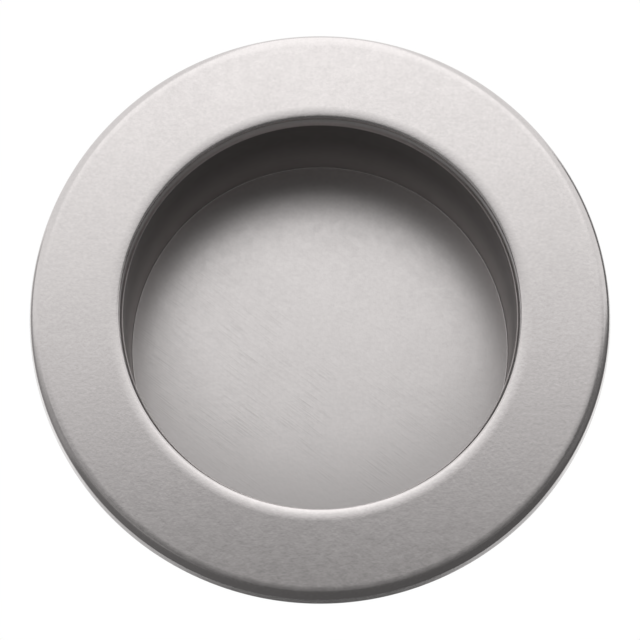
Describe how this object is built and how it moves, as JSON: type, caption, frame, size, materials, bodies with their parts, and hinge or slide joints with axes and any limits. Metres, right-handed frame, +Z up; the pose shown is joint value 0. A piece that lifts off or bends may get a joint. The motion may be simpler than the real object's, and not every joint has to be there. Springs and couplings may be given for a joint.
{
  "type": "pocket door pull",
  "caption": "Round flush pull for a sliding pocket door: a flat face ring with a rounded lip, and a deep finger cup that sinks into a bored hole.",
  "frame": {"origin": "on the pull's axis, in the plane of the door's face, where the ring's back lies", "axes": "+Y along the axis into the door, so the ring faces -Y; +Z up the door, +X to the right for someone who faces the ring"},
  "size_m": [0.065, 0.0197, 0.065],
  "materials": {
    "ring_metal": "satin nickel, fine even grain",
    "cup_metal": "satin nickel, lightly brushed on the slant"
  },
  "bodies": {
    "root": {"face_ring": "ring_metal", "cup": "cup_metal"}
  },
  "joints": []
}
